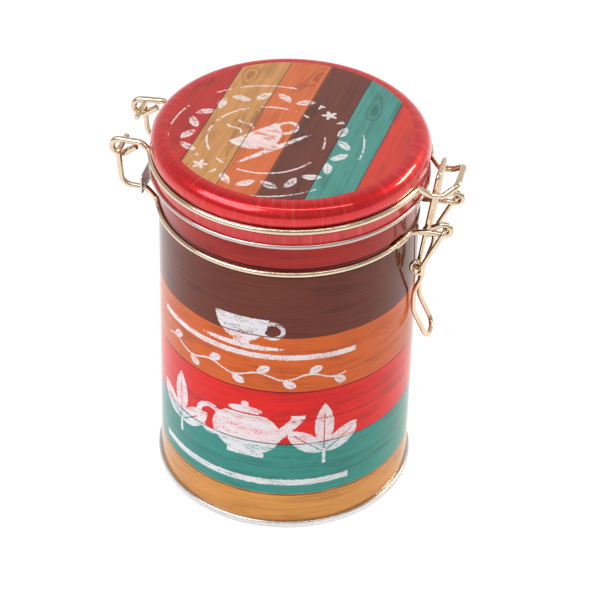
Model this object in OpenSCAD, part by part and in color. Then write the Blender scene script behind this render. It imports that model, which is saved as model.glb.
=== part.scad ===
// Clip-top tea caddy: a round tinplate can, a hinged cap and a swing-top wire latch.
// Millimetres. The origin is the centre of the base, on the plane the can stands on.
// +Z is up, the latch is at +X, the hinge at -X, and the front of the can faces -Y.

/* [Can] */
// Radius of the outside of the can's wall
can_r = 40; // [38:0.5:42]
// Thickness of the can's and the cap's sheet, curls included
sheet = 0.5; // [0.4:0.05:0.6]
// Height of the groove that the neck wire sits in
neck_z = 100; // [98:0.5:101]
// Height of the middle of the mouth's curl
mouth_z = 121; // [120:0.5:121]
// Radius of the middle of the mouth's curl
mouth_r = 38.7; // [38:0.1:38.9]
// Radius of the mouth's curl itself
mouth_curl = 0.9; // [0.7:0.1:1]
// Outer radius of the seam round the base
seam_r = 41; // [40.7:0.1:41.5]
// Height of the seam round the base
seam_h = 2.4; // [2:0.1:3]
// Height of the base's recessed panel
panel_z = 3.4; // [3:0.1:5]

/* [Cap] */
// Outer radius of the cap's skirt
skirt_r = 41.9; // [41.7:0.1:42]
// Height of the curl round the skirt's lower edge
curl_z = 111.2; // [111:0.1:112]
// Height of the top of the cap
top_z = 124.4; // [124:0.1:126]
// Radius of the rounded edge of the top
shoulder_r = 4.5; // [3.5:0.1:4.5]
// Height of the groove that the cap's wire sits in
cap_wire_z = 116.8; // [116.7:0.1:117]

/* [Wires] */
// Radius of the cap's wire
cap_wire_r = 1; // [0.85:0.05:1]
// Radius of the neck wire
neck_wire_r = 0.9; // [0.75:0.05:0.9]
// Radius of the lever's wire
lever_wire_r = 0.75; // [0.65:0.05:0.75]
// Radius of the bail's wire
bail_wire_r = 0.75; // [0.65:0.05:0.75]
// Outer radius of the sleeves on the neck wire
sleeve_r = 1.25; // [1.1:0.05:1.3]

/* [Hinge] */
// Distance of the hinge's axis behind the can's own axis
hinge_x = 50; // [50:0.1:51]
// Height of the hinge's axis
hinge_z = 115.9; // [115.5:0.1:116]
// Distance of each hook of the cap's wire from the middle
hook_y = 11.2; // [11:0.1:11.3]
// Distance of each upright of the neck wire from the middle
upright_y = 13.5; // [13.4:0.1:14]

/* [Latch] */
// Distance of the lever's pivot in front of the can's own axis
pivot_x = 50; // [50:0.1:51]
// Height of the lever's pivot
pivot_z = 102.7; // [102:0.1:103]
// Distance of each ear of the neck wire from the middle
ear_y = 8.65; // [8.6:0.05:8.7]
// Distance of the lever's legs from the middle, at the pivot
lever_y = 10.5; // [10.45:0.05:10.6]
// Distance of the lever's coils in front of the can's own axis
coil_x = 42.4; // [42.2:0.1:43]
// Height of the middle of the lever's coils
coil_z = 88; // [87:0.5:89]
// Distance of the bail's top bar in front of the can's own axis
bar_x = 46.3; // [46:0.1:46.6]
// Height of the bail's top bar
bar_z = 119; // [118:0.5:120]

/* [Hidden] */

// Small gaps between pieces that lie against each other
gap = 0.05;
seal_gap = 0.15;
same_point = 0.01;

// Fineness of the round shapes
$fn = 32;
fine = 180;
arc_steps = 8;
wire_sides = 12;
sleeve_sides = 32;
ring_step = 5;
bend_step = 18;

// Can
can_in = can_r - sheet;
wall_foot = 0.6;
neck_groove_r = 2.2;
neck_groove_x = can_r + 1.2;
neck_lip = 1.85;
neck_wire_ring = can_r + 0.35;
band_top = 109.6;
step_in = 0.8;
step_h = 1.6;
lap_angle = 2.4;
lap_height = 0.2;

// Base
channel_in = can_in - gap;
channel_out = can_r + gap;
panel_r = 34;
panel_step = 1.2;

// Cap
shoulder_x = skirt_r + 0.4 - shoulder_r;
cap_wire_ring = skirt_r + 0.3;
cap_groove = cap_wire_r + 0.5;
curl_r = 0.8;
gasket_in = 36.4;
gasket_out = 39.6;
gasket_lip = 0.9;
gasket_slope = 1.5;

// Hinge: the hooks are square bends with their corners rounded, and end in a rising tail
hook_bend = 2.7;
hook_low = 2.3;
hook_tail = [5, 1];
hook_heel = 0.7;
hook_top = [43.4, 0.6, 0.4];
hook_angle = 159.5;
hook_lead = 2.6;
pin_end_y = 5;
leg_x = 49;
leg_z = 104.2;
leg_bend = 3.4;
leg_foot_x = 41.6;
leg_angle = 157;
leg_lead = 3.4;
clip_x = 42.3;
clip_half_y = 15.4;
clip_low = 102.2;
clip_high = 109;
clip_corner = 1.6;
clip_hole_y = upright_y - 0.4;
clip_hole_z = 103.9;
clip_hole_r = neck_wire_r + 0.25;

// Latch
ear_bend = 1.8;
ear_end = 4;
ear_top = 1.2;
ear_root_x = 45;
ear_lead = 3;
ear_angle = 17;
sleeve_angle = 7.5;
stub_end_y = 7.45;
coil_bend = lever_wire_r + bail_wire_r + 0.2;
coil_pitch = 1.65;
lever_low_y = 8.6;
finger_x = 41;
finger_y = 4.3;
finger_high_z = 75;
finger_low_z = 67.5;
finger_tip = [46, 0, 57.2];
bail_pin = 1.1;
bail_low_y = 6.85;
bail_high_y = 5.1;
nose_y = 7.4;
nose_lead = [3.2, 0.4];
nose_root = [44.7, 113.5];
nose_elbow = [48.6, 113.9];
nose_tip = [52.2, 5.3, 116.8];

// Colours
bare_steel = [0.80, 0.80, 0.82];
plated_wire = [0.88, 0.83, 0.72];
silicone = [0.93, 0.93, 0.90];
print_red = [0.72, 0.13, 0.13];
print_brown = [0.35, 0.14, 0.10];

// Points along an arc in a profile, from angle a to angle b
function arc_points(centre, r, a, b) =
    [for (i = [0:arc_steps]) let (t = a + (b - a) * i / arc_steps) centre + r * [cos(t), sin(t)]];

function unit(v) = v / norm(v);

// A point on a level ring, and the way along the ring towards its gap at the front or back
function on_ring(r, angle, z) = [r * cos(angle), r * sin(angle), z];
function along_ring(angle) = sign(cos(angle)) * [sin(angle), -cos(angle), 0];
function ring_path(r, z, from, to) =
    let (n = ceil(abs(to - from) / ring_step))
    [for (i = [0:n]) on_ring(r, from + (to - from) * i / n, z)];

// The points of one rounded corner of a route
function corner_path(before, corner, after, bend) =
    let (u = unit(corner - before),
         v = unit(after - corner),
         turn = acos(min(1, u * v)),
         inward = unit(v - (u * v) * u),
         centre = corner - bend * tan(turn / 2) * u + bend * inward,
         n = max(1, ceil(turn / bend_step)))
    [for (i = [0:n]) let (t = turn * i / n) centre - bend * cos(t) * inward + bend * sin(t) * u];

// A route with each inner point rounded to its own bend radius
function bent_path(points, bends) = [
    points[0],
    for (i = [1:len(points) - 2]) each corner_path(points[i - 1], points[i], points[i + 1], bends[i - 1]),
    points[len(points) - 1]];

function distinct(path) =
    [for (i = [0:len(path) - 1]) if (i == 0 || norm(path[i] - path[i - 1]) > same_point) path[i]];
function reversed(path) = [for (i = [len(path) - 1:-1:0]) path[i]];
function flipped_y(path) = [for (p = path) [p.x, -p.y, p.z]];

// A route on the +Y side that ends on the middle plane, with its mirror image
function across(path) = concat(path, flipped_y([for (i = [len(path) - 2:-1:0]) path[i]]));

// Direction along a path, and a square direction carried along it without twisting
function way(path, i) = unit(path[min(i + 1, len(path) - 1)] - path[max(i - 1, 0)]);
function squared(side, along) = unit(side - (side * along) * along);
function carried_sides(path) =
    [for (i = 0, side = squared([0.3, 0.5, 0.8], way(path, 0));
          i < len(path);
          i = i + 1, side = squared(side, way(path, min(i, len(path) - 1)))) side];

// Round wire swept along a path
module wire(path, r) {
    side = carried_sides(path);
    rings = len(path);
    polyhedron(
        points = [for (i = [0:rings - 1], k = [0:wire_sides - 1])
            let (a = 360 * k / wire_sides)
            path[i] + r * (cos(a) * side[i] + sin(a) * cross(way(path, i), side[i]))],
        faces = concat(
            [[for (k = [0:wire_sides - 1]) k]],
            [[for (k = [wire_sides - 1:-1:0]) (rings - 1) * wire_sides + k]],
            [for (i = [0:rings - 2], k = [0:wire_sides - 1], half = [0, 1])
                let (next = (k + 1) % wire_sides, here = i * wire_sides, ahead = here + wire_sides)
                half == 0 ? [here + k, ahead + k, ahead + next] : [here + k, ahead + next, here + next]]));
}

// Can wall with its neck groove, its stepped neck and the curl round the mouth
module body_shell() {
    neck_r = can_r - step_in;
    color(print_red) rotate_extrude($fn = fine) polygon(concat(
        [[can_r, wall_foot]],
        arc_points([neck_groove_x, neck_z], neck_groove_r, 237, 123),
        [[can_r, band_top], [neck_r, band_top + step_h]],
        arc_points([mouth_r, mouth_z], mouth_curl, -40, 220),
        [[neck_r - sheet, band_top + step_h], [can_in, band_top]],
        arc_points([neck_groove_x, neck_z], neck_groove_r + sheet, 129, 231),
        [[can_in, wall_foot]]));
    color(print_brown) rotate([0, 0, 90 - lap_angle / 2])
        rotate_extrude(angle = lap_angle, $fn = fine)
            translate([can_r - sheet / 2, seam_h + gap])
                square([sheet / 2 + lap_height, neck_z - neck_lip - seam_h - 0.5]);
}

// Pressed end, folded over the foot of the wall into a standing seam
module base_plate() {
    web = wall_foot - gap;
    color(bare_steel) rotate_extrude($fn = fine) polygon(concat(
        [[0, panel_z - sheet], [panel_r, panel_z - sheet], [panel_r + panel_step, panel_z - sheet - panel_step],
         [channel_in - sheet - panel_step, panel_z - sheet - panel_step],
         [channel_in - sheet, panel_z - sheet - 2 * panel_step]],
        arc_points([channel_in - sheet + web, web], web, 180, 270),
        arc_points([seam_r - web, web], web, 270, 360),
        arc_points([seam_r - web, seam_h - web], web, 0, 90),
        [[channel_out, seam_h], [channel_out, web], [channel_in, web],
         [channel_in, panel_z - panel_step], [panel_r + panel_step, panel_z - panel_step],
         [panel_r, panel_z], [0, panel_z]]));
}

// Sheet strap behind the neck that both legs of the neck wire pass through
module hinge_clip() {
    color(bare_steel) difference() {
        hull() for (y = [-1, 1], z = [clip_low + clip_corner, clip_high - clip_corner])
            translate([-clip_x, y * (clip_half_y - clip_corner), z])
                rotate([0, -90, 0]) cylinder(r = clip_corner, h = sheet);
        for (y = [-clip_hole_y, clip_hole_y])
            translate([-clip_x + sheet, y, clip_hole_z]) rotate([0, -90, 0])
                cylinder(r = clip_hole_r, h = 3 * sheet);
    }
}

// Half of the neck wire, on the +Y side: eye, ear, ring, leg, upright and hinge pin.
// The ear runs out low, rounds the eye, and its end comes back down onto the low run.
function neck_wire_path() =
    let (low = pivot_z - ear_bend,
         high = pivot_z + ear_bend,
         front = on_ring(neck_wire_ring, ear_angle, neck_z),
         back = on_ring(neck_wire_ring, leg_angle, neck_z))
    distinct(concat(
        bent_path([
            [pivot_x - ear_end, ear_y, low + 2 * neck_wire_r + gap],
            [pivot_x - ear_top, ear_y, high],
            [pivot_x + ear_bend, ear_y, high],
            [pivot_x + ear_bend, ear_y, low],
            [ear_root_x, ear_y, low],
            front + ear_lead * along_ring(ear_angle),
            front],
            [2, ear_bend, ear_bend, 2.5, 1.6]),
        ring_path(neck_wire_ring, neck_z, ear_angle, leg_angle),
        bent_path([
            back,
            back + leg_lead * along_ring(leg_angle),
            [-leg_foot_x, clip_hole_y, clip_hole_z],
            [-leg_x, upright_y, leg_z],
            [-hinge_x, upright_y, hinge_z],
            [-hinge_x, pin_end_y, hinge_z]],
            [1.5, 1.5, leg_bend, 1])));

module neck_wire_left() { color(plated_wire) wire(reversed(flipped_y(neck_wire_path())), neck_wire_r); }
module neck_wire_right() { color(plated_wire) wire(neck_wire_path(), neck_wire_r); }

// Crimped sleeve on the neck wire, where its ear leaves the groove
module ear_sleeve() {
    color(plated_wire) translate([0, 0, neck_z]) rotate([0, 0, ear_angle])
        rotate_extrude(angle = sleeve_angle, $fn = fine) translate([neck_wire_ring, 0])
            difference() {
                circle(sleeve_r, $fn = sleeve_sides);
                circle(neck_wire_r + gap, $fn = sleeve_sides);
            }
}

module ear_sleeve_left() { mirror([0, 1, 0]) ear_sleeve(); }
module ear_sleeve_right() { ear_sleeve(); }

// Pressed cap: top, rounded shoulder, groove for its wire, skirt and curled lower edge
module lid_cap() {
    shoulder = [shoulder_x, top_z - shoulder_r];
    groove = [cap_wire_ring, cap_wire_z];
    color(print_red) rotate_extrude($fn = fine) polygon(concat(
        [[0, top_z]],
        arc_points(shoulder, shoulder_r, 90, -15),
        arc_points(groove, cap_groove, 95, 265),
        [[skirt_r, curl_z + curl_r]],
        arc_points([skirt_r, curl_z], curl_r, 60, -210),
        [[skirt_r - sheet, cap_wire_z - cap_groove - sheet]],
        arc_points(groove, cap_groove + sheet, 250, 110),
        arc_points(shoulder, shoulder_r - sheet, -10, 90),
        [[0, top_z - sheet]]));
}

// Soft ring under the cap's top, which the mouth's curl presses on
module lid_gasket() {
    low = mouth_z + mouth_curl + seal_gap;
    high = top_z - sheet - gap;
    color(silicone) rotate_extrude($fn = fine) polygon([
        [gasket_in, low], [gasket_out, low], [gasket_out, low + gasket_lip],
        [gasket_out - gasket_slope, high], [gasket_in, high]]);
}

// The cap's wire: hook, ear, ring, half of the nose, and their mirror image
function lid_wire_path() =
    let (back = on_ring(cap_wire_ring, hook_angle, cap_wire_z),
         front = on_ring(cap_wire_ring, ear_angle, cap_wire_z))
    across(distinct(concat(
        bent_path([
            [-hinge_x + hook_tail.x, hook_y, hinge_z + hook_tail.y],
            [-hinge_x + hook_heel, hook_y, hinge_z - hook_low],
            [-hinge_x - hook_bend, hook_y, hinge_z - hook_low],
            [-hinge_x - hook_bend, hook_y, hinge_z + hook_bend],
            [-hook_top.x, hook_y + hook_top.y, hinge_z + hook_bend + hook_top.z],
            back + hook_lead * along_ring(hook_angle),
            back],
            [2.3, hook_low, hook_bend, 1.8, 1.6]),
        ring_path(cap_wire_ring, cap_wire_z, hook_angle, ear_angle),
        bent_path([
            front,
            front + nose_lead.x * along_ring(ear_angle) - [0, 0, nose_lead.y],
            [nose_root.x, nose_y, nose_root.y],
            [nose_elbow.x, nose_y, nose_elbow.y],
            nose_tip,
            [nose_tip.x, 0, nose_tip.z]],
            [1.8, 1.8, 2.5, 2]))));

module lid_wire() { color(plated_wire) wire(lid_wire_path(), cap_wire_r); }

// The lever: pivot stub, leg, one turn of coil, half of the finger loop, and their mirror image
function lever_path() =
    let (outer = coil_x + coil_bend,
         inner = coil_x - coil_bend,
         high = coil_z + coil_bend,
         low = coil_z - coil_bend,
         turn_y = [for (i = [0:3]) lever_y - coil_pitch * i / 3])
    across(distinct(bent_path([
        [pivot_x, stub_end_y, pivot_z],
        [pivot_x, lever_y, pivot_z],
        [outer, turn_y[0], high],
        [outer, turn_y[0], low],
        [inner, turn_y[1], low],
        [inner, turn_y[2], high],
        [outer, turn_y[3], high],
        [outer - 0.3, lever_low_y, low - 2],
        [finger_x, finger_y + 0.4, finger_high_z],
        [finger_x, finger_y, finger_low_z],
        [finger_tip.x, finger_y, finger_tip.z],
        finger_tip],
        [0.9, coil_bend, 1.6, 1.6, 1.6, 1.6, 5, 8, 7, 3.3])));

module latch_lever() { color(plated_wire) wire(lever_path(), lever_wire_r); }

// The bail: pin in the lever's coil, leg, half of the top bar, and their mirror image
function bail_path() =
    across(distinct(bent_path([
        [coil_x, lever_y + bail_pin, coil_z],
        [coil_x, bail_low_y, coil_z],
        [bar_x, bail_high_y, bar_z],
        [bar_x, 0, bar_z]],
        [0.9, 1.4])));

module latch_bail() { color(plated_wire) wire(bail_path(), bail_wire_r); }

body_shell();
base_plate();
hinge_clip();
neck_wire_left();
neck_wire_right();
ear_sleeve_left();
ear_sleeve_right();
lid_cap();
lid_gasket();
lid_wire();
latch_lever();
latch_bail();
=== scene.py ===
"""Looks of the clip-top tea caddy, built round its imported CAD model."""
import math

import bmesh
import bpy
from mathutils import Matrix, Vector


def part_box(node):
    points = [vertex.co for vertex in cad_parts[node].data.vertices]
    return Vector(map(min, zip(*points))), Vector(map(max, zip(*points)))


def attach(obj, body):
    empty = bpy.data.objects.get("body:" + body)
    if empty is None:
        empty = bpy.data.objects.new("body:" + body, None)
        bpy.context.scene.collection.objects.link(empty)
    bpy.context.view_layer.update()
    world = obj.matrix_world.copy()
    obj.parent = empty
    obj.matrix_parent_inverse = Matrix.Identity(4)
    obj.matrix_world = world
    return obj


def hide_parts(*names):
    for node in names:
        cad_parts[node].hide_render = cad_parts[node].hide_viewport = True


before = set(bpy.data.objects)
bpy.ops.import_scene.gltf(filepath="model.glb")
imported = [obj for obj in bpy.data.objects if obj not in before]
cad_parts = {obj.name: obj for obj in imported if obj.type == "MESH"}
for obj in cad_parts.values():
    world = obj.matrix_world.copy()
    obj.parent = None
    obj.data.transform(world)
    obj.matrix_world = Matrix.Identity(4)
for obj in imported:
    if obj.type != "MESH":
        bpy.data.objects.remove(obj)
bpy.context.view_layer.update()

MM = 0.001

# ---------------------------------------------------------------- sizes, in millimetres
# Can: wall, neck groove, stepped neck, mouth's curl and base
CAN_R = 40.0
SHEET = 0.5
WALL_FOOT = 0.6
NECK_Z = 100.0
GROOVE_X, GROOVE_R = CAN_R + 1.2, 2.2
BAND_TOP, STEP_TOP = 109.6, 111.2
NECK_R = CAN_R - 0.8
MOUTH_R, MOUTH_Z, MOUTH_CURL = 38.7, 121.0, 0.9
SEAM_R, SEAM_H = 41.0, 2.4
PANEL_Z, PANEL_R = 3.4, 34.0

# Wire radii, and the rings that the two big wires lie on
CAP_WIRE, NECK_WIRE, LEVER_WIRE, BAIL_WIRE = 1.0, 0.9, 0.75, 0.75
NECK_RING = CAN_R + 0.35

# Cap: top, rounded shoulder, wire groove, skirt and curl
SKIRT_R = 41.9
CURL_Z, CURL_R = 111.2, 0.8
TOP_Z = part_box("lid_cap")[1].z / MM
SHOULDER_R = 4.5
SHOULDER_X, SHOULDER_Z = SKIRT_R + 0.4 - SHOULDER_R, TOP_Z - SHOULDER_R
CAP_RING, CAP_WIRE_Z = SKIRT_R + 0.3, 116.8
CAP_GROOVE = CAP_WIRE + 0.5

# Hinge: axis, hooks of the cap's wire, legs of the neck wire and the strap they pass through
HINGE_X, HINGE_Z = 50.0, 115.9
HOOK_Y, UPRIGHT_Y, PIN_END_Y = 11.2, 13.5, 5.0
HOOK_ANGLE, HOOK_BEND, HOOK_LOW, HOOK_ROOT_X = 159.5, 2.7, 2.3, 43.4
LEG_ANGLE, LEG_FOOT_X, LEG_X, LEG_Z = 157.0, 41.6, 49.0, 104.2
CLIP_X, CLIP_LOW, CLIP_HIGH, CLIP_HALF, CLIP_CORNER = 42.55, 102.2, 109.0, 15.4, 1.6
HOLE_Y, HOLE_Z, HOLE_R = UPRIGHT_Y - 0.4, 103.9, NECK_WIRE + 0.25

# Latch: ears of the neck wire, lever with its coils and finger loop, bail, nose of the cap's wire
PIVOT_X, PIVOT_Z = 50.0, 102.7
EAR_Y, EAR_BEND, EAR_ROOT_X = 8.65, 1.8, 45.0
EAR_ANGLE, SLEEVE_ANGLE, SLEEVE_R = 17.0, 7.5, 1.25
LEVER_Y, LEVER_LOW_Y, STUB_END_Y = 10.5, 8.6, 7.45
COIL_X, COIL_Z, COIL_BEND, COIL_PITCH = 42.4, 88.0, 1.7, 1.65
FINGER_X, FINGER_Y, FINGER_HIGH_Z, FINGER_LOW_Z = 41.0, 4.3, 75.0, 67.5
FINGER_TIP_X, FINGER_TIP_Z = 46.0, 57.2
BAR_X, BAR_Z = 46.3, 119.0
BAIL_LOW_Y, BAIL_HIGH_Y, BAIL_PIN = 6.85, 5.1, 1.1
NOSE_Y, NOSE_ROOT_X, NOSE_ROOT_Z = 7.4, 44.7, 113.5
NOSE_ELBOW_X, NOSE_ELBOW_Z = 48.6, 113.9
NOSE_TIP_X, NOSE_TIP_Y, NOSE_TIP_Z = 52.2, 5.3, 116.8

# Print: plank joints up the can and across the lid, and the lid's round art with its stamp
BODY_JOINS = (13.2, 34.1, 54.8, 76.0, NECK_Z)
HALF_JOINS = (43.6, 24.6)
PRINT_TOP = 125
PRINT_SHIFT, PRINT_HALF = 3.0, 36.0
CUP_Z, VINE_Z, POT_Z = 77.6, 60.6, 37.4
UPPER_BAR_Z, LOWER_BAR_Z = 68.4, 18.4
LEAVES_X, LEAVES_Z = 25.0, 31.0
LID_JOINS = (-25.0, -11.2, 1.2, 14.9, 27.7)
LID_HALF = 45.0
ART_R = 36.9
STAMP_X, STAMP_Y, STAMP_TURN = -5.8, -7.8, 49.0
STAMP_OUT, STAMP_IN, WREATH_R = 29.3, 17.6, 23.4
WREATH_LEAVES = 22

# Wood of the planks: mean width of a plank, step of the noise's seed per plank, strength of the knots
BODY_PLANK, BODY_SEED, BODY_KNOTS = 21.0, 5.7, 0.16
LID_PLANK, LID_SEED, LID_KNOTS = 13.0, 4.1, 0.50

# Steps round each solid of revolution
AROUND = 288


# ---------------------------------------------------------------- mesh helpers
def arc(centre, radius, start, end, steps=10):
    """Points of an arc in a (radius, height) profile; the angles are in degrees."""
    return [
        (
            centre[0] + radius * math.cos(math.radians(start + (end - start) * i / steps)),
            centre[1] + radius * math.sin(math.radians(start + (end - start) * i / steps)),
        )
        for i in range(steps + 1)
    ]


def add_object(name, data):
    """A new object in the scene."""
    obj = bpy.data.objects.new(name, data)
    bpy.context.scene.collection.objects.link(obj)
    return obj


def smooth_object(name, mesh, smooth_angle=35):
    """A mesh in the scene, smooth but for edges sharper than the angle."""
    obj = add_object(name, mesh)
    mesh.shade_smooth()
    mesh.set_sharp_from_angle(angle=math.radians(smooth_angle))
    return obj


def mesh_object(name, verts, faces, smooth_angle=35):
    """A smooth object from points in millimetres and faces, with its normals outwards."""
    mesh = bpy.data.meshes.new(name)
    mesh.from_pydata([Vector(v) * MM for v in verts], [], faces)
    mesh.validate()
    working = bmesh.new()
    working.from_mesh(mesh)
    bmesh.ops.recalc_face_normals(working, faces=working.faces)
    working.to_mesh(mesh)
    working.free()
    return smooth_object(name, mesh, smooth_angle)


def lathe(name, profile):
    """A closed solid of revolution: the profile's first and last points may lie on the axis."""
    verts, rings = [], []
    for radius, height in profile:
        if radius < 1e-6:
            rings.append([len(verts)])
            verts.append((0, 0, height))
            continue
        rings.append(range(len(verts), len(verts) + AROUND))
        angles = [2 * math.pi * k / AROUND for k in range(AROUND)]
        verts += [(radius * math.cos(a), radius * math.sin(a), height) for a in angles]
    faces = []
    pairs = list(zip(rings, rings[1:]))
    if len(rings[0]) > 1:
        pairs.append((rings[-1], rings[0]))
    for low, high in pairs:
        for k in range(AROUND):
            n = (k + 1) % AROUND
            if len(low) == 1 and len(high) == 1:
                break
            if len(low) == 1:
                faces.append((low[0], high[n], high[k]))
            elif len(high) == 1:
                faces.append((low[k], low[n], high[0]))
            else:
                faces.append((low[k], low[n], high[n], high[k]))
    return mesh_object(name, verts, faces)


def rounded(points, bends):
    """A route with each inner point rounded to its own bend radius."""
    step = 7.5
    points = [Vector(p) for p in points]
    path = [points[0]]
    for before, corner, after, bend in zip(points, points[1:], points[2:], bends):
        u, v = (corner - before).normalized(), (after - corner).normalized()
        turn = u.angle(v)
        inward = (v - v.dot(u) * u).normalized()
        centre = corner - u * bend * math.tan(turn / 2) + inward * bend
        steps = max(1, math.ceil(math.degrees(turn) / step))
        for i in range(steps + 1):
            t = turn * i / steps
            path.append(centre - inward * bend * math.cos(t) + u * bend * math.sin(t))
    return path + [points[-1]]


def on_ring(radius, angle, height):
    """The point of a level ring at an angle in degrees, counted from +X."""
    a = math.radians(angle)
    return Vector((radius * math.cos(a), radius * math.sin(a), height))


def along_ring(angle):
    """Level unit vector along a ring's +Y half, towards the middle plane at its front or its back."""
    a = math.radians(angle)
    return Vector((math.sin(a), -math.cos(a), 0)) * (1 if math.cos(a) > 0 else -1)


def ring_path(radius, height, start, end, step=1.5):
    """Points of a level ring between two angles."""
    steps = math.ceil(abs(end - start) / step)
    return [on_ring(radius, start + (end - start) * i / steps, height) for i in range(steps + 1)]


def distinct(path):
    """The path without points that repeat the one before."""
    kept = [path[0]]
    for p in path[1:]:
        if (p - kept[-1]).length > 0.01:
            kept.append(p)
    return kept


def flipped(path):
    """The path's mirror image on the other side of the middle plane."""
    return [Vector((p.x, -p.y, p.z)) for p in path]


def across(path):
    """A route on the +Y side that ends on the middle plane, with its mirror image."""
    return path + flipped(path[-2::-1])


def tube(name, path, radius, sides=20, chamfer=0.25):
    """Round wire along a path, its ends cut square with a small chamfer. The radius may be a function."""
    path = distinct(path)
    size = radius if callable(radius) else lambda i: radius
    first, last = path[0], path[-1]
    start = (path[1] - first).normalized()
    finish = (last - path[-2]).normalized()
    centres = [first, first + start * chamfer * 0.5] + path[1:-1] + [last - finish * chamfer * 0.5, last]
    radii = [size(0) - chamfer, size(0)] + [size(i) for i in range(1, len(path) - 1)]
    radii += [size(len(path) - 1), size(len(path) - 1) - chamfer]
    side = start.orthogonal().normalized()
    verts, faces = [], []
    for i, (centre, r) in enumerate(zip(centres, radii)):
        way = (centres[min(i + 1, len(centres) - 1)] - centres[max(i - 1, 0)]).normalized()
        side = (side - side.dot(way) * way).normalized()
        other = way.cross(side)
        for k in range(sides):
            a = 2 * math.pi * k / sides
            verts.append(centre + (side * math.cos(a) + other * math.sin(a)) * r)
        if i:
            base = (i - 1) * sides
            for k in range(sides):
                n = (k + 1) % sides
                faces.append((base + k, base + n, base + sides + n, base + sides + k))
    faces.append(tuple(range(sides)))
    faces.append(tuple(range(len(verts) - 1, len(verts) - 1 - sides, -1)))
    return mesh_object(name, verts, faces, smooth_angle=50)


# ---------------------------------------------------------------- shader arithmetic
def feed(tree, slot, value):
    """Links a Value to an input socket, or sets the socket to a plain number or colour."""
    if isinstance(value, Value):
        tree.links.new(value.socket, slot)
    else:
        slot.default_value = value


def computed(tree, operation, *operands, clamp=False):
    """The result of a Math node over Values and plain numbers."""
    node = tree.nodes.new("ShaderNodeMath")
    node.operation = operation
    node.use_clamp = clamp
    for slot, value in zip(node.inputs, operands):
        feed(tree, slot, value)
    return Value(tree, node.outputs[0])


class Value:
    """A number or colour inside a material. Its arithmetic makes the Math nodes."""

    def __init__(self, tree, socket):
        self.tree = tree
        self.socket = socket

    def math(self, operation, *others, clamp=False):
        return computed(self.tree, operation, self, *others, clamp=clamp)

    def __add__(self, other):
        return self.math("ADD", other)

    def __radd__(self, other):
        return self.math("ADD", other)

    def __sub__(self, other):
        return self.math("SUBTRACT", other)

    def __rsub__(self, other):
        return computed(self.tree, "SUBTRACT", other, self)

    def __mul__(self, other):
        return self.math("MULTIPLY", other)

    def __truediv__(self, other):
        return self.math("DIVIDE", other)

    def __neg__(self):
        return self.math("MULTIPLY", -1.0)

    def __abs__(self):
        return self.math("ABSOLUTE")

    def low(self, other):
        return self.math("MINIMUM", other)

    def high(self, other):
        return self.math("MAXIMUM", other)

    def above(self, limit):
        return self.math("GREATER_THAN", limit)

    def clamped(self):
        return self.math("ADD", 0.0, clamp=True)


def length(x, y):
    """Distance from the middle of a plane."""
    return (x * x + y * y).math("SQRT")


def turned(x, y, degrees):
    """The point (x, y) in axes that are turned by an angle."""
    c, s = math.cos(math.radians(degrees)), math.sin(math.radians(degrees))
    return x * c + y * s, y * c - x * s


def cover(distance, soft=0.14):
    """1 inside a shape whose signed distance is given, 0 outside, with a thin soft edge."""
    return (0.5 - distance * (1 / soft)).clamped()


# Signed distances, in millimetres, from shapes about the origin: negative inside
def disc(x, y, radius):
    return length(x, y) - radius


def ring(x, y, radius, half):
    return abs(length(x, y) - radius) - half


def block(x, y, half_x, half_y):
    return (abs(x) - half_x).high(abs(y) - half_y)


def oval(x, y, half_x, half_y):
    return (length(x / half_x, y / half_y) - 1.0) * min(half_x, half_y)


def leaf(x, y, half_long, half_wide):
    """A pointed leaf along x, with a thin line left open down its middle."""
    radius = (half_long ** 2 + half_wide ** 2) / (2 * half_wide)
    outline = length(x, abs(y) + (radius - half_wide)) - radius
    rib = block(x + half_long * 0.25, y, half_long * 0.85, half_wide * 0.055)
    return outline.high(-rib)


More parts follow.
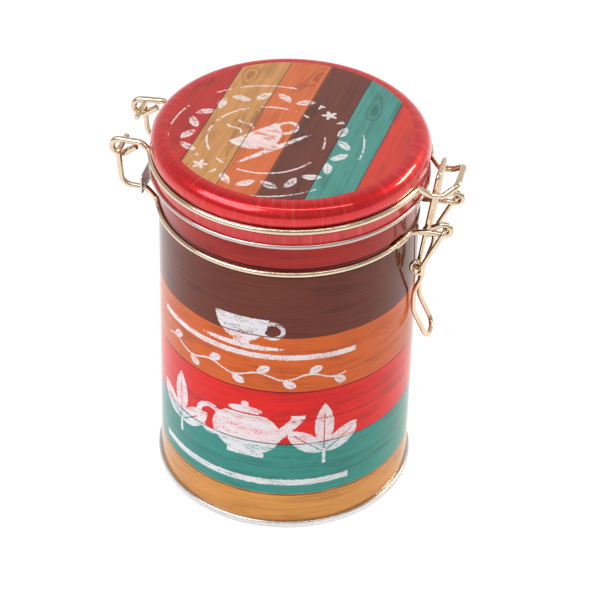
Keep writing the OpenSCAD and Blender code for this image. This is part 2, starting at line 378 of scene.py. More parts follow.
class Material:
    """A node material with the object's own coordinates, in millimetres."""

    def __init__(self, name):
        self.material = bpy.data.materials.new(name)
        self.material.use_nodes = True
        self.tree = self.material.node_tree
        self.shader = self.tree.nodes["Principled BSDF"]
        split = self.tree.nodes.new("ShaderNodeSeparateXYZ")
        coordinates = self.tree.nodes.new("ShaderNodeTexCoord")
        self.tree.links.new(coordinates.outputs["Object"], split.inputs[0])
        self.x, self.y, self.z = (Value(self.tree, s) * (1 / MM) for s in split.outputs)

    def set(self, **sockets):
        """Sets or links the shader's sockets, each named in lower case with underscores."""
        for name, value in sockets.items():
            slot = self.shader.inputs[name.replace("_", " ").title().replace("Ior", "IOR")]
            feed(self.tree, slot, value)

    def vector(self, x, y, z):
        node = self.tree.nodes.new("ShaderNodeCombineXYZ")
        for slot, value in zip(node.inputs, (x, y, z)):
            feed(self.tree, slot, value)
        return node.outputs[0]

    def noise(self, x, y, z, detail=3.0, rough=0.55, distortion=0.0):
        """Fractal noise between 0 and 1, with features about one unit wide."""
        node = self.tree.nodes.new("ShaderNodeTexNoise")
        self.tree.links.new(self.vector(x, y, z), node.inputs["Vector"])
        node.inputs["Scale"].default_value = 1.0
        node.inputs["Detail"].default_value = detail
        node.inputs["Roughness"].default_value = rough
        node.inputs["Distortion"].default_value = distortion
        return Value(self.tree, node.outputs["Fac"])

    def bands(self, position, stops):
        """Flat colours that change at given positions between 0 and 1."""
        node = self.tree.nodes.new("ShaderNodeValToRGB")
        ramp = node.color_ramp
        ramp.interpolation = "CONSTANT"
        while len(ramp.elements) < len(stops):
            ramp.elements.new(1.0)
        for element, (place, colour) in zip(ramp.elements, stops):
            element.position = place
            element.color = (*colour, 1)
        self.tree.links.new(position.socket, node.inputs[0])
        return Value(self.tree, node.outputs["Color"])

    def mix(self, amount, below, above, blend="MIX"):
        """Lays one colour over another by an amount between 0 and 1."""
        node = self.tree.nodes.new("ShaderNodeMix")
        node.data_type = "RGBA"
        node.blend_type = blend
        factor, colour_below, colour_above = node.inputs[0], node.inputs[6], node.inputs[7]
        feed(self.tree, factor, amount)
        for slot, value in ((colour_below, below), (colour_above, above)):
            feed(self.tree, slot, value if isinstance(value, Value) else (*value, 1))
        return Value(self.tree, node.outputs[2])

    def bump(self, height, distance_mm):
        """Tilts the shader's normal by a height between 0 and 1."""
        node = self.tree.nodes.new("ShaderNodeBump")
        node.inputs["Strength"].default_value = 1.0
        node.inputs["Distance"].default_value = distance_mm * MM
        self.tree.links.new(height.socket, node.inputs["Height"])
        self.tree.links.new(node.outputs[0], self.shader.inputs["Normal"])


# ---------------------------------------------------------------- printed planks
RED = (0.72, 0.012, 0.010)
BROWN = (0.140, 0.030, 0.016)
ORANGE = (0.62, 0.115, 0.018)
TEAL = (0.036, 0.262, 0.222)
GOLD = (0.66, 0.285, 0.065)
# Red print of the band above the neck groove, darkened with painted shade from the lid's skirt
NECK_RED_WITH_PAINTED_SHADE = (0.34, 0.018, 0.012)
LID_RED = (0.47, 0.018, 0.011)
LID_CORAL = (0.60, 0.034, 0.018)
LID_BROWN = (0.135, 0.028, 0.012)
LID_ORANGE = (0.62, 0.140, 0.038)
LID_TEAL = (0.058, 0.275, 0.240)
LID_GOLD = (0.57, 0.270, 0.088)
WHITE_INK = (0.80, 0.78, 0.80)
DARK_LINE = (0.035, 0.010, 0.006)

# Tints of the wood, laid over a plank's colour
GRAIN_DARK, GRAIN_PALE = (0.20, 0.13, 0.10), (0.95, 0.70, 0.55)
FIBRE_DARK, BLOTCH_DARK, KNOT_DARK = (0.30, 0.20, 0.16), (0.34, 0.20, 0.18), (0.26, 0.14, 0.11)

# Streaked lacquer: shoulder, skirt and the pale streaks over both
SHOULDER_RED, SKIRT_RED = (0.72, 0.010, 0.014), (0.56, 0.022, 0.022)
SHOULDER_DEEP, SKIRT_DEEP = (0.26, 0.004, 0.006), (0.24, 0.008, 0.008)
PALE_STREAK = (0.80, 0.090, 0.080)

# Bare metal
BODY_BARE, LID_BARE, CURL_BARE = (0.72, 0.71, 0.68), (0.80, 0.79, 0.77), (0.56, 0.48, 0.44)


def wood(mat, colour, along, across_planks, seed, knots):
    """Grain, blotches, knots and fine cracks along a plank, laid over its colour."""
    streaks = mat.noise(along * 0.035, across_planks * 1.15, seed, 5.0, 0.62, 0.9)
    fibres = mat.noise(along * 0.16, across_planks * 5.0, seed + 7.3, 2.0, 0.6)
    blotches = mat.noise(along * 0.06, across_planks * 0.22, seed + 3.1, 2.0, 0.5)
    dark = ((streaks - 0.50) * 3.0).clamped()
    pale = ((0.47 - streaks) * 3.0).clamped()
    colour = mat.mix(dark * 0.60, colour, GRAIN_DARK, "MULTIPLY")
    colour = mat.mix(pale * 0.40, colour, GRAIN_PALE, "SOFT_LIGHT")
    colour = mat.mix(((fibres - 0.52) * 2.4).clamped() * 0.42, colour, FIBRE_DARK, "MULTIPLY")
    colour = mat.mix(((blotches - 0.52) * 3.0).clamped() * 0.50, colour, BLOTCH_DARK, "MULTIPLY")
    swell = mat.noise(along * 0.050, across_planks * 0.12, seed + 17.0, 0.0)
    rings = (swell * 75.0).math("SINE") * 0.5 + 0.5
    knot = ((swell - 0.61) * 9.0).clamped() * rings * knots
    colour = mat.mix(knot, colour, KNOT_DARK, "MULTIPLY")
    crack = abs(mat.noise(along * 0.022, across_planks * 0.95, seed + 11.0, 1.0, 0.4) - 0.5)
    crack = (1.0 - crack * 85.0).clamped() * ((blotches - 0.42) * 5.0).clamped()
    return mat.mix(crack * 0.55, colour, DARK_LINE), streaks


def worn(mat, distance, x, y, seed, wear):
    """Ink inside a shape, with ragged edges, speckles and rubbed patches."""
    edge = mat.noise(x * 0.9, y * 0.9, seed, 3.0, 0.7)
    speck = mat.noise(x * 1.7, y * 1.7, seed + 4.0, 3.0, 0.65)
    rub = mat.noise(x * 0.14, y * 0.45, seed + 9.0, 4.0, 0.7)
    ink = cover(distance + (edge - 0.5) * 0.9)
    holes = ((speck + (rub - 0.5) * (0.9 * wear) - 0.56) * 9.0).clamped()
    return ink * (1.0 - holes * 0.85) * (0.97 - (rub - 0.45).clamped() * 0.9)


def near_lines(position, places, half):
    """1 near any of some parallel lines, 0 elsewhere."""
    gap = abs(position - places[0])
    for place in places[1:]:
        gap = gap.low(abs(position - place))
    return cover(gap - half, 0.22)


def cup_shape(x, y):
    """A round-bottomed cup with a ring handle, on a saucer."""
    bowl = oval(x, y - 4.6, 8.6, 9.2).high(y - 4.6)
    foot = block(x, y + 5.0, 2.6, 0.7)
    handle = oval(x - 9.6, y - 0.6, 4.0, 3.4).high(-oval(x - 9.6, y - 0.6, 2.7, 2.1)).high(6.4 - x)
    saucer = oval(x, y + 6.2, 12.4, 0.95)
    return bowl.low(foot).low(handle).low(saucer)


def teapot_shape(x, y):
    """A squat teapot with its spout to the right."""
    belly = oval(x, y, 11.2, 8.6)
    cap = oval(x, y - 8.9, 5.2, 1.5).low(disc(x, y - 11.1, 1.25))
    band = block(x, y - 7.5, 6.0, 0.28)
    foot = block(x, y + 8.5, 6.0, 0.9)
    along_spout, across_spout = turned(x - 12.6, y - 2.2, 48)
    spout = block(along_spout, across_spout, 6.4, 1.7)
    lip = block(x - 16.6, y - 7.4, 2.2, 0.7)
    handle = oval(x + 12.2, y - 0.8, 5.6, 6.0).high(-oval(x + 12.2, y - 0.8, 3.7, 4.2)).high(x + 8.8)
    return belly.low(cap).low(foot).low(spout).low(lip).low(handle).high(-band)


def leaf_fan(x, y):
    """Two tea leaves and a bud on a short stem."""
    bud_x, bud_y = turned(x, y, 90)
    left_x, left_y = turned(x, y + 1.0, 38)
    right_x, right_y = turned(x, y + 1.0, 142)
    bud = leaf(bud_x - 9.5, bud_y, 9.0, 3.1)
    fan = bud.low(leaf(left_x - 7.6, left_y, 7.4, 3.3)).low(leaf(right_x - 7.6, right_y, 7.4, 3.3))
    return fan.low(block(x, y + 2.6, 0.55, 3.0))


def vine(x, y):
    """A wavy stem with small leaves, one on each side in turn."""
    pitch, rise = 8.0, 1.1
    wave = (x * (math.pi / pitch)).math("SINE") * rise
    cell = (x / pitch).math("FLOOR")
    side = 1.0 - (cell * 0.5).math("FRACT") * 4.0
    local = x - cell * pitch - pitch / 2
    leaf_x, leaf_y = turned(local + 0.6, (y - wave) * side, 40)
    return leaf(leaf_x - 2.9, leaf_y, 2.7, 1.25).low(abs(y - wave) - 0.3)


def body_ink(mat, x, z):
    """White print of the can: a cup, two bars, a vine, and a teapot between two sprigs of leaves."""
    printed = block(x, z - 50.0, PRINT_HALF, 60.0)
    upper_bar = block(x, z - UPPER_BAR_Z, 34.5, 0.95)
    bars = upper_bar.low(block(x + 0.5, z - LOWER_BAR_Z, 34.0, 1.15))
    fans = leaf_fan(abs(x) - LEAVES_X, z - LEAVES_Z)
    pot = teapot_shape(x, z - POT_Z)
    sprig = vine(x, z - VINE_Z).high(block(x, z - VINE_Z, 31.5, 5.0))
    ink = worn(mat, cup_shape(x + 1.5, z - CUP_Z), x, z, 1.0, 1.3)
    ink = ink.high(worn(mat, bars, x, z, 5.0, 0.7))
    ink = ink.high(worn(mat, fans.low(pot), x, z, 9.0, 0.9))
    return ink.high(worn(mat, sprig, x, z, 13.0, 0.4)) * cover(printed)


def body_material():
    """Varnished tinplate printed with level planks and white ink, bare inside and under the lid."""
    mat = Material("printed_body")
    z, radius = mat.z, length(mat.x, mat.y)
    girth = mat.x.math("ARCTAN2", -mat.y) * CAN_R
    # The band above the neck groove takes its red darkened with painted shade from the lid
    inks = (TEAL, RED, ORANGE, BROWN, NECK_RED_WITH_PAINTED_SHADE)
    stops = [(0.0, GOLD)] + [(j / PRINT_TOP, ink) for j, ink in zip(BODY_JOINS, inks)]
    wobble = (mat.noise(girth * 0.05, z * 0.02, 2.0, 2.0) - 0.5) * 0.5
    seed = ((z + wobble) / BODY_PLANK).math("FLOOR") * BODY_SEED
    colour = mat.bands((z + wobble) * (1 / PRINT_TOP), stops)
    colour, grain = wood(mat, colour, girth, z, seed, BODY_KNOTS)

    ink = body_ink(mat, girth + PRINT_SHIFT, z)
    colour = mat.mix(ink * 0.93, colour, WHITE_INK)
    cracks = near_lines(z + wobble, BODY_JOINS[:4], 0.24)
    cracks = cracks.high(near_lines(z + wobble * 1.6, HALF_JOINS, 0.10))
    filled = (mat.noise(girth * 0.12, z * 0.1, 21.0, 1.0) - 0.45).clamped() * 2.0
    cracks = cracks * (1.0 - filled).clamped()
    colour = mat.mix(cracks * 0.85, colour, DARK_LINE)

    inner = radius - (CAN_R - SHEET / 2)
    groove = length(radius - GROOVE_X, z - NECK_Z) - (GROOVE_R + SHEET / 2)
    bare = cover(inner, 0.05) * (z - 4.0).above(0.0) * groove.above(0.0)
    bare = bare.high((z - (STEP_TOP - 0.6)).above(0.0)).clamped()
    colour = mat.mix(bare, colour, BODY_BARE)
    smear = mat.noise(girth * 0.09, z * 0.07, 30.0, 3.0)
    lacquer = 0.20 + (z - NECK_Z).above(0.0) * 0.60
    mat.set(base_color=colour, roughness=0.30 + smear * 0.12, metallic=bare.high(lacquer * (1.0 - ink)))
    mat.set(specular_ior_level=0.0, coat_weight=1.0, coat_roughness=0.06, coat_ior=1.30)
    mat.bump(mat.noise(girth * 0.10, z * 0.10, 40.0, 2.0) + grain * 0.05 + ink * 0.02, 0.10)
    return mat.material


def stamp_ink(mat):
    """The lid's stamp: a steaming cup in a wreath of leaves and two stars, edged by two broken rings."""
    x, y = turned(mat.x - STAMP_X, mat.y - STAMP_Y, STAMP_TURN)
    around, out = y.math("ARCTAN2", x), length(x, y)
    step = 2 * math.pi / WREATH_LEAVES
    cell = (around / step).math("FLOOR")
    local = (around - (cell + 0.5) * step) * WREATH_R
    lean = 1.0 - (cell * 0.5).math("FRACT") * 4.0
    leaf_x, leaf_y = turned(local, (out - WREATH_R) * lean, 38)
    wreath = leaf(leaf_x, leaf_y, 3.1, 1.35)

    from_star = length(abs(x) - WREATH_R, y)
    points = (y.math("ARCTAN2", abs(x) - WREATH_R) * 5.0).math("COSINE")
    star = from_star - (1.75 + points * 0.75)
    wreath = wreath.high(4.6 - from_star).low(star)

    rings = ring(x, y, STAMP_OUT, 0.26).low(ring(x, y, STAMP_IN, 0.30))
    broken = mat.noise(around * 2.2, out * 0.02, 51.0, 2.0)
    rings = rings.high((broken - 0.53) * 6.0)

    cup = cup_shape(x + 1.0, y - 1.0)
    sway = (y * 0.9).math("SINE") * 0.9
    steam = (abs(x - sway) - 0.4).low(abs(x + 4.2 - sway) - 0.4)
    steam = steam.high(block(x, y - 10.0, 9.0, 3.0))
    ink = worn(mat, cup.low(steam).low(wreath), mat.x, mat.y, 61.0, 1.6)
    return ink.high(worn(mat, rings, mat.x, mat.y, 67.0, 1.2))


def rim_lacquer(mat, radius):
    """Red lacquer of the shoulder and the skirt, streaked by the drawing of the cap."""
    angle, z = mat.x.math("ARCTAN2", -mat.y), mat.z
    fine = mat.noise(angle * 150.0 + z * 0.5, z * 0.14, radius * 0.10, 3.0, 0.75)
    broad = mat.noise(angle * 24.0, z * 0.10, radius * 0.05, 3.0, 0.6)
    skirt = cover(z - CAP_WIRE_Z, 3.0)
    red = mat.mix(skirt, SHOULDER_RED, SKIRT_RED)
    deep = mat.mix(skirt, SHOULDER_DEEP, SKIRT_DEEP)
    rim = mat.mix(((fine - 0.47) * 6.0).clamped() * 0.60, red, deep)
    rim = mat.mix(((broad - 0.54) * 5.0).clamped() * 0.50, rim, PALE_STREAK)
    return mat.mix(((0.44 - broad) * 5.0).clamped() * 0.50, rim, deep)


def under_cap(radius, z):
    """1 on the cap's bare underside, 0 on its lacquered outside."""
    groove = length(radius - CAP_RING, z - CAP_WIRE_Z) - (CAP_GROOVE + SHEET / 2)
    dome = length((radius - SHOULDER_X).high(0.0), z - SHOULDER_Z) - (SHOULDER_R - SHEET / 2)
    outside = dome.above(0.0) * (z - SHOULDER_Z).above(0.0)
    inner_wall = cover(radius - (SKIRT_R - SHEET * 0.6), 0.05) * (1.0 - outside)
    inner_dome = (1.0 - dome.above(0.0)) * (z - SHOULDER_Z + SHOULDER_R / 3).above(0.0)
    return inner_wall.high(inner_dome) * groove.above(0.0)


def lid_material():
    """Varnished cap: slanting planks and a worn stamp on top, streaked red over shoulder and skirt."""
    mat = Material("printed_lid")
    x, y, z = mat.x, mat.y, mat.z
    radius = length(x, y)
    across_lid, along_lid = turned(x, y, -4.0)
    inks = (LID_GOLD, LID_ORANGE, LID_BROWN, LID_TEAL, LID_CORAL)
    stops = [(0.0, LID_RED)]
    stops += [((j + LID_HALF) / (2 * LID_HALF), ink) for j, ink in zip(LID_JOINS, inks)]
    wobble = (mat.noise(along_lid * 0.05, across_lid * 0.03, 3.0, 2.0) - 0.5) * 0.5
    planks = mat.bands((across_lid + wobble + LID_HALF) * (0.5 / LID_HALF), stops)
    seed = ((across_lid + wobble) / LID_PLANK).math("FLOOR") * LID_SEED
    planks, grain = wood(mat, planks, along_lid, across_lid, seed, LID_KNOTS)

    ink = stamp_ink(mat)
    planks = mat.mix(ink * 0.78, planks, WHITE_INK)
    lines = near_lines(across_lid + wobble, LID_JOINS, 0.20)
    planks = mat.mix(lines * 0.75, planks, DARK_LINE)
    on_top = cover(radius - ART_R, 0.10) * (z - TOP_Z + 1.0).above(0.0)
    colour = mat.mix(on_top, rim_lacquer(mat, radius), planks)

    curl = (CURL_Z + CURL_R - 0.15 - z).above(0.0)
    bare = curl.high(under_cap(radius, z))
    colour = mat.mix(bare, colour, LID_BARE)
    colour = mat.mix(curl, colour, CURL_BARE)
    smear = mat.noise(x * 0.08, y * 0.08, z * 0.08, 3.0)
    mat.set(base_color=colour, roughness=0.24 + smear * 0.12)
    mat.set(metallic=bare.high((1.0 - on_top) * 0.65 + on_top * (1.0 - ink) * 0.15))
    mat.set(specular_ior_level=0.0, coat_weight=1.0, coat_roughness=0.06, coat_ior=1.5)
    mat.bump(mat.noise(x * 0.11, y * 0.11, z * 0.11, 2.0) + grain * 0.04 + ink * 0.02, 0.09)
    return mat.material


# ---------------------------------------------------------------- plain materials
NICKEL, NICKEL_DULL, NICKEL_MARK = (0.86, 0.72, 0.54), (0.64, 0.50, 0.35), (0.30, 0.22, 0.14)
TIN, TIN_DULL, TIN_BRUSHED = (0.80, 0.79, 0.79), (0.58, 0.57, 0.56), (0.34, 0.33, 0.32)
SILICONE, SILICONE_CLOUD = (0.88, 0.87, 0.83), (0.78, 0.77, 0.73)


def wire_material():
    """Bright warm nickel plate with faint drawing lines and a few dull patches."""
    mat = Material("plated_wire")
    patches = mat.noise(mat.x * 0.35, mat.y * 0.35, mat.z * 0.35, 4.0)
    marks = mat.noise(mat.x * 3.0, mat.y * 3.0, mat.z * 3.0, 3.0, 0.7)
    colour = mat.mix(patches, NICKEL, NICKEL_DULL)
    colour = mat.mix(((marks - 0.58) * 6.0).clamped() * 0.6, colour, NICKEL_MARK)
    mat.set(base_color=colour, metallic=1.0, roughness=0.05 + patches * 0.10)
    mat.bump(marks, 0.02)
    return mat.material


def tinplate_material():
    """Bare tinplate, brushed round the can, with dull spots."""
    mat = Material("tinplate")
    angle = mat.x.math("ARCTAN2", -mat.y)
    radius = length(mat.x, mat.y)
    brushed = mat.noise(angle * 4.0, radius * 5.0, mat.z * 6.0, 4.0, 0.7)
    spots = mat.noise(mat.x * 0.4, mat.y * 0.4, mat.z * 0.4, 3.0)
    colour = mat.mix(spots, TIN, TIN_DULL)
    colour = mat.mix(((brushed - 0.52) * 5.0).clamped() * 0.5, colour, TIN_BRUSHED)
    mat.set(base_color=colour, metallic=1.0, roughness=0.16 + brushed * 0.16)
    mat.bump(brushed, 0.015)
    return mat.material


def silicone_material():
    """Milky silicone with a faint mould texture."""
    mat = Material("silicone")
    cloud = mat.noise(mat.x * 0.2, mat.y * 0.2, mat.z * 0.2, 3.0)
    fine = mat.noise(mat.x * 4.0, mat.y * 4.0, mat.z * 4.0, 2.0)
    mat.set(base_color=mat.mix(cloud, SILICONE, SILICONE_CLOUD), roughness=0.48 + fine * 0.1)
    mat.set(subsurface_weight=0.25, subsurface_scale=0.002)
    mat.bump(fine, 0.03)
    return mat.material


# ---------------------------------------------------------------- pieces
def fit(obj, material, body, slot, *nodes):
    """Gives a piece its material and its body, and hides the nodes that it stands for. Its slot is not
    used.
    """
    obj.data.materials.clear()
    obj.data.materials.append(material)
    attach(obj, body)
    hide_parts(*nodes)


def body_shell():
    """Printed wall with its neck groove, stepped neck and the curl round the mouth."""
    straight, steps = 97.8, 24
    wall = [(CAN_R, WALL_FOOT + i * (straight - WALL_FOOT) / steps) for i in range(steps + 1)]
    groove = arc((GROOVE_X, NECK_Z), GROOVE_R, 237, 123, 18)
    profile = wall + groove + [(CAN_R, 102.0), (CAN_R, 105.5)]
    profile += [(CAN_R, BAND_TOP - 0.2), (CAN_R - 0.06, BAND_TOP + 0.2)]
    profile += [(NECK_R + 0.05, STEP_TOP - 0.2), (NECK_R, STEP_TOP + 0.2)]
    profile += [(NECK_R, MOUTH_Z - 0.8)]
    profile += arc((MOUTH_R, MOUTH_Z), MOUTH_CURL, -50, 222, 18)
    profile += [(NECK_R - SHEET, STEP_TOP), (CAN_R - SHEET, BAND_TOP)]
    profile += arc((GROOVE_X, NECK_Z), GROOVE_R + SHEET, 129, 231, 14)
    return lathe("can_wall", profile + [(CAN_R - SHEET, WALL_FOOT)])


def side_seam():
    """The lapped edge of the sheet, a thin raised strip down the back of the can."""
    half, low, high = math.radians(1.2), SEAM_H + 0.05, NECK_Z - 2.3
    verts, faces, steps = [], [], 6
    for i in range(steps + 1):
        a = math.pi / 2 - half + 2 * half * i / steps
        lift = 0.2 * min(1.0, 4.0 * min(i, steps - i) / steps)
        for radius in (CAN_R - 0.1, CAN_R + lift):
            verts += [(radius * math.cos(a), radius * math.sin(a), h) for h in (low, high)]
    for i in range(steps):
        b = 4 * i
        faces += [(b, b + 1, b + 5, b + 4), (b + 2, b + 6, b + 7, b + 3), (b, b + 4, b + 6, b + 2)]
        faces.append((b + 1, b + 3, b + 7, b + 5))
    faces += [(0, 2, 3, 1), (4 * steps, 4 * steps + 1, 4 * steps + 3, 4 * steps + 2)]
    return mesh_object("can_side_seam", verts, faces)


def base_plate():
    """Pressed end with a beaded panel, folded over the foot of the wall into a standing seam."""
    web, inside, outside = 0.55, CAN_R - SHEET - 0.05, CAN_R + 0.05
    bead_r, bead_depth = 31.0, 0.25
    bead = [(bead_r, PANEL_Z), (bead_r - 0.6, PANEL_Z - bead_depth)]
    bead += [(bead_r - 2.0, PANEL_Z - bead_depth), (bead_r - 2.6, PANEL_Z)]
    profile = [(0, PANEL_Z - SHEET), (PANEL_R, PANEL_Z - SHEET), (PANEL_R + 0.5, PANEL_Z - 0.7)]
    profile += [(PANEL_R + 1.2, PANEL_Z - 1.7), (inside - 1.9, PANEL_Z - 1.7)]
    profile += [(inside - 0.9, 1.45), (inside - SHEET - 0.1, 0.8)]
    profile += arc((inside - SHEET + web, web), web, 190, 270) + arc((SEAM_R - web, web), web, 270, 360)
    profile += arc((SEAM_R - web, SEAM_H - web), web, 0, 90)
    profile += [(outside, SEAM_H), (outside, web), (inside, web), (inside, PANEL_Z - 1.2)]
    profile += [(PANEL_R + 1.4, PANEL_Z - 1.2), (PANEL_R + 0.6, PANEL_Z - 0.9), (PANEL_R, PANEL_Z)]
    profile += bead + [(0, PANEL_Z)]
    return lathe("can_base", profile)


def lid_cap():
    """Cap: top, rounded shoulder, groove for its wire, skirt and curled lower edge."""
    shoulder, groove = (SHOULDER_X, SHOULDER_Z), (CAP_RING, CAP_WIRE_Z)
    profile = [(0, TOP_Z), (12, TOP_Z), (24, TOP_Z), (33, TOP_Z)]
    profile += arc(shoulder, SHOULDER_R, 90, -15, 26)
    profile += arc(groove, CAP_GROOVE, 95, 265, 16) + [(SKIRT_R, 114.0), (SKIRT_R, CURL_Z + CURL_R)]
    profile += arc((SKIRT_R, CURL_Z), CURL_R, 60, -210, 20)
    profile += [(SKIRT_R - SHEET, CAP_WIRE_Z - CAP_GROOVE - SHEET)]
    profile += arc(groove, CAP_GROOVE + SHEET, 250, 110, 12)
    profile += arc(shoulder, SHOULDER_R - SHEET, -10, 90, 20)
    return lathe("lid_cap_shell", profile + [(24, TOP_Z - SHEET), (0, TOP_Z - SHEET)])


def gasket():
    """Seal under the cap's top, with three lips towards the mouth's curl."""
    low, high = MOUTH_Z + MOUTH_CURL + 0.15, TOP_Z - SHEET - 0.05
    profile = [(36.4, high), (36.4, low + 0.2), (36.6, low)]
    for notch in (37.5, 38.9):
        profile += [(notch - 0.3, low), (notch, low + 0.12), (notch + 0.3, low)]
    profile += [(39.5, low + 0.1), (39.6, low + 0.3), (39.6, low + 0.9), (38.1, high)]
    return lathe("lid_seal", profile)


def neck_wire_path():
    """One half of the neck wire: eye, ear, ring, leg, upright and hinge pin."""
    low, high = PIVOT_Z - EAR_BEND, PIVOT_Z + EAR_BEND
    front, back = (on_ring(NECK_RING, a, NECK_Z) for a in (EAR_ANGLE, LEG_ANGLE))
    eye = [
        (PIVOT_X - 4, EAR_Y, low + 2 * NECK_WIRE + 0.05),
        (PIVOT_X - 1.2, EAR_Y, high),
        (PIVOT_X + EAR_BEND, EAR_Y, high),
        (PIVOT_X + EAR_BEND, EAR_Y, low),
        (EAR_ROOT_X, EAR_Y, low),
        front + 3 * along_ring(EAR_ANGLE),
        front,
    ]
    hinge = [
        back,
        back + 3.4 * along_ring(LEG_ANGLE),
        (-LEG_FOOT_X, HOLE_Y, HOLE_Z),
        (-LEG_X, UPRIGHT_Y, LEG_Z),
        (-HINGE_X, UPRIGHT_Y, HINGE_Z),
        (-HINGE_X, PIN_END_Y, HINGE_Z),
    ]
    path = rounded(eye, [2, EAR_BEND, EAR_BEND, 2.5, 1.6])
    path += ring_path(NECK_RING, NECK_Z, EAR_ANGLE, LEG_ANGLE)
    return path + rounded(hinge, [1.5, 1.5, 3.4, 1])


def lid_wire_path():
    """The cap's wire: hook, ring, half of the nose, and their mirror image."""
    back, front = (on_ring(CAP_RING, a, CAP_WIRE_Z) for a in (HOOK_ANGLE, EAR_ANGLE))
    hook = [
        (-HINGE_X + 5, HOOK_Y, HINGE_Z + 1),
        (-HINGE_X + 0.7, HOOK_Y, HINGE_Z - HOOK_LOW),
        (-HINGE_X - HOOK_BEND, HOOK_Y, HINGE_Z - HOOK_LOW),
        (-HINGE_X - HOOK_BEND, HOOK_Y, HINGE_Z + HOOK_BEND),
        (-HOOK_ROOT_X, HOOK_Y + 0.6, HINGE_Z + HOOK_BEND + 0.4),
        back + 2.6 * along_ring(HOOK_ANGLE),
        back,
    ]
    nose = [
        front,
        front + 3.2 * along_ring(EAR_ANGLE) - Vector((0, 0, 0.4)),
        (NOSE_ROOT_X, NOSE_Y, NOSE_ROOT_Z),
        (NOSE_ELBOW_X, NOSE_Y, NOSE_ELBOW_Z),
        (NOSE_TIP_X, NOSE_TIP_Y, NOSE_TIP_Z),
        (NOSE_TIP_X, 0, NOSE_TIP_Z),
    ]
    path = rounded(hook, [2.3, HOOK_LOW, HOOK_BEND, 1.8, 1.6])
    path += ring_path(CAP_RING, CAP_WIRE_Z, HOOK_ANGLE, EAR_ANGLE)
    return across(path + rounded(nose, [1.8, 1.8, 2.5, 2]))


def lever_path():
    """The lever: pivot stub, leg, a turn of coil, half of the finger loop, and their mirror image."""
    right, left = COIL_X + COIL_BEND, COIL_X - COIL_BEND
    high, low = COIL_Z + COIL_BEND, COIL_Z - COIL_BEND
    turn_y = [LEVER_Y - COIL_PITCH * i / 3 for i in range(4)]
    route = [
        (PIVOT_X, STUB_END_Y, PIVOT_Z),
        (PIVOT_X, LEVER_Y, PIVOT_Z),
        (right, turn_y[0], high),
        (right, turn_y[0], low),
        (left, turn_y[1], low),
        (left, turn_y[2], high),
        (right, turn_y[3], high),
        (right - 0.3, LEVER_LOW_Y, low - 2),
        (FINGER_X, FINGER_Y + 0.4, FINGER_HIGH_Z),
        (FINGER_X, FINGER_Y, FINGER_LOW_Z),
        (FINGER_TIP_X, FINGER_Y, FINGER_TIP_Z),
        (FINGER_TIP_X, 0, FINGER_TIP_Z),
    ]
    return across(rounded(route, [0.9, COIL_BEND, 1.6, 1.6, 1.6, 1.6, 5, 8, 7, 3.3]))


def bail_path():
    """The bail: pin in the lever's coil, leg, half of the top bar, and their mirror image."""
    route = [
        (COIL_X, LEVER_Y + BAIL_PIN, COIL_Z),
        (COIL_X, BAIL_LOW_Y, COIL_Z),
        (BAR_X, BAIL_HIGH_Y, BAR_Z),
        (BAR_X, 0, BAR_Z),
    ]
    return across(rounded(route, [0.9, 1.4]))


def sleeve(name, side):
    """A crimped tube on the neck wire, ringed by the crimping tool."""
    groove_depth, groove_turn = 0.09, 0.9

    def crimped(i):
        return SLEEVE_R - groove_depth * (1 + math.cos(i * groove_turn)) / 2

    path = ring_path(NECK_RING, NECK_Z, EAR_ANGLE, EAR_ANGLE + SLEEVE_ANGLE, step=0.12)
    if side < 0:
        path = flipped(path)
    return tube(name, path, crimped, sides=28, chamfer=0.12)


def hinge_clip():
    """A pressed strap with a hole for each leg of the neck wire."""
    curve = bpy.data.curves.new("hinge_strap", "CURVE")
    curve.dimensions = "2D"
    curve.fill_mode = "BOTH"
    curve.extrude = 0.17 * MM
    curve.bevel_depth = 0.08 * MM
    curve.bevel_resolution = 3
    inset = curve.bevel_depth / MM
    outline = []
    middle, rise = (CLIP_LOW + CLIP_HIGH) / 2, (CLIP_HIGH - CLIP_LOW) / 2 - CLIP_CORNER
    for cy, cz, start in ((1, 1, 0), (-1, 1, 90), (-1, -1, 180), (1, -1, 270)):
        centre = (cy * (CLIP_HALF - CLIP_CORNER), middle + cz * rise)
        outline += arc(centre, CLIP_CORNER - inset, start, start + 90, 8)
    holes = [arc((side * HOLE_Y, HOLE_Z), HOLE_R + inset, 0, 352.5, 47) for side in (-1, 1)]
    for loop in [outline] + holes:
        spline = curve.splines.new("POLY")
        spline.points.add(len(loop) - 1)
        for point, (a, b) in zip(spline.points, loop):
            point.co = (a * MM, b * MM, 0, 1)
        spline.use_cyclic_u = True
    made = bpy.data.objects.new("hinge_strap_curve", curve)
    upright = Matrix(((0, 0, 1, -CLIP_X * MM), (1, 0, 0, 0), (0, 1, 0, 0), (0, 0, 0, 1)))
    mesh = bpy.data.meshes.new_from_object(made)
    mesh.transform(upright)
    bpy.data.objects.remove(made)
    return smooth_object("hinge_strap", mesh)


# ---------------------------------------------------------------- camera, light and floor
CAMERA_AIM = Vector((3.9, 0.9, 59.7)) * MM
CAMERA_AZIMUTH, CAMERA_ELEVATION, CAMERA_ROLL = 13.14, 37.61, 1.527
CAMERA_DISTANCE = 0.8054
LIGHT_TARGET = Vector((0, 0, 0.07))


def towards(azimuth, elevation):
    """Unit vector from the can to a place round it. Azimuth 0 lies on the -Y side."""
    a, e = math.radians(azimuth), math.radians(elevation)
    return Vector((math.sin(a) * math.cos(e), -math.cos(a) * math.cos(e), math.sin(e)))


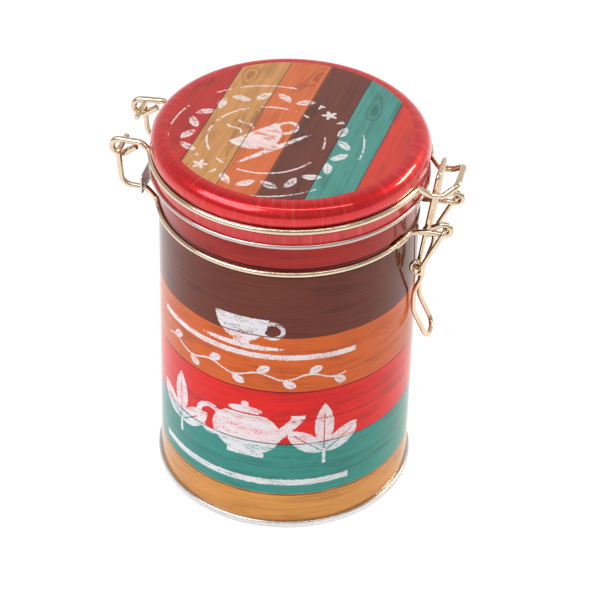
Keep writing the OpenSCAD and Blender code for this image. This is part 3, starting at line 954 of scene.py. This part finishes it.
def add_camera():
    """A long lens above the front of the can, rolled a little as a hand holds it."""
    back = towards(CAMERA_AZIMUTH, CAMERA_ELEVATION)
    data = bpy.data.cameras.new("camera")
    data.sensor_width = 36
    data.lens = 153.6
    camera = add_object("camera", data)
    turn = (-back).to_track_quat("-Z", "Y").to_matrix().to_4x4()
    roll = Matrix.Rotation(math.radians(CAMERA_ROLL), 4, "Z")
    camera.matrix_world = Matrix.Translation(CAMERA_AIM + back * CAMERA_DISTANCE) @ turn @ roll
    bpy.context.scene.camera = camera


def add_softbox(name, azimuth, elevation, distance, width, height, power, colour):
    """An area light that faces the middle of the can. Sizes are in metres and power is in watts."""
    back = towards(azimuth, elevation)
    light = bpy.data.lights.new(name, "AREA")
    light.shape = "RECTANGLE"
    light.size, light.size_y = width, height
    light.energy = power
    light.color = colour
    obj = add_object(name, light)
    obj.location = LIGHT_TARGET + back * distance
    obj.rotation_euler = (-back).to_track_quat("-Z", "Y").to_euler()


def add_floor():
    """A white floor that glows like a light table."""
    mesh = bpy.data.meshes.new("floor")
    half = 3.0
    corners = [(-half, -half, 0), (half, -half, 0), (half, half, 0), (-half, half, 0)]
    mesh.from_pydata(corners, [], [(0, 1, 2, 3)])
    floor = add_object("floor", mesh)
    mat = Material("floor_light_table")
    mat.set(base_color=(0.35, 0.35, 0.35, 1), roughness=0.9)
    mat.set(emission_color=(1, 1, 1, 1), emission_strength=0.78)
    mesh.materials.append(mat.material)


def add_light():
    """A white tent: brightest behind the can, dim towards its front, with three softboxes."""
    world = bpy.data.worlds.new("studio")
    bpy.context.scene.world = world
    world.use_nodes = True
    tree = world.node_tree
    coordinates = tree.nodes.new("ShaderNodeTexCoord")
    split = tree.nodes.new("ShaderNodeSeparateXYZ")
    tree.links.new(coordinates.outputs["Generated"], split.inputs[0])
    x, y, z = (Value(tree, s) for s in split.outputs)
    behind = ((y + 0.25) * 0.9).clamped() * 0.55
    sides = (abs(x) - 0.55).clamped() * 0.45
    over_camera = (y * -1.2).clamped() * (z * 1.6).clamped() * 0.34
    level = 0.20 + behind + sides + over_camera
    background = tree.nodes["Background"]
    background.inputs["Color"].default_value = (1.0, 0.995, 0.985, 1)
    tree.links.new(level.socket, background.inputs["Strength"])
    add_softbox("left_softbox", -42, 45, 1.2, 0.90, 0.60, 8.2, (0.91, 0.90, 1.0))
    add_softbox("strip_softbox", 8, 70, 1.0, 1.50, 0.07, 2.6, (1.0, 0.97, 0.92))
    add_softbox("right_softbox", 126, 34, 1.1, 0.44, 0.15, 5.4, (1.0, 0.84, 0.62))
    bpy.context.scene.view_settings.view_transform = "Standard"


add_camera()
add_light()
add_floor()

printed_body, printed_lid = body_material(), lid_material()
wire_metal, tinplate, silicone = wire_material(), tinplate_material(), silicone_material()

fit(body_shell(), printed_body, "can", "printed_body", "body_shell")
fit(side_seam(), printed_body, "can", "printed_body")
fit(base_plate(), tinplate, "can", "tinplate", "base_plate")
fit(hinge_clip(), tinplate, "can", "tinplate", "hinge_clip")
neck_path = neck_wire_path()
right_neck = tube("neck_wire_right_half", neck_path, NECK_WIRE)
fit(right_neck, wire_metal, "can", "plated_wire", "neck_wire_right")
left_neck = tube("neck_wire_left_half", flipped(neck_path), NECK_WIRE)
fit(left_neck, wire_metal, "can", "plated_wire", "neck_wire_left")
fit(sleeve("crimp_sleeve_right", 1), wire_metal, "can", "plated_wire", "ear_sleeve_right")
fit(sleeve("crimp_sleeve_left", -1), wire_metal, "can", "plated_wire", "ear_sleeve_left")
fit(lid_cap(), printed_lid, "lid", "printed_lid", "lid_cap")
fit(gasket(), silicone, "lid", "silicone", "lid_gasket")
fit(tube("lid_wire_loop", lid_wire_path(), CAP_WIRE), wire_metal, "lid", "plated_wire", "lid_wire")
fit(tube("lever_loop", lever_path(), LEVER_WIRE), wire_metal, "lever", "plated_wire", "latch_lever")
fit(tube("bail_link", bail_path(), BAIL_WIRE), wire_metal, "bail", "plated_wire", "latch_bail")
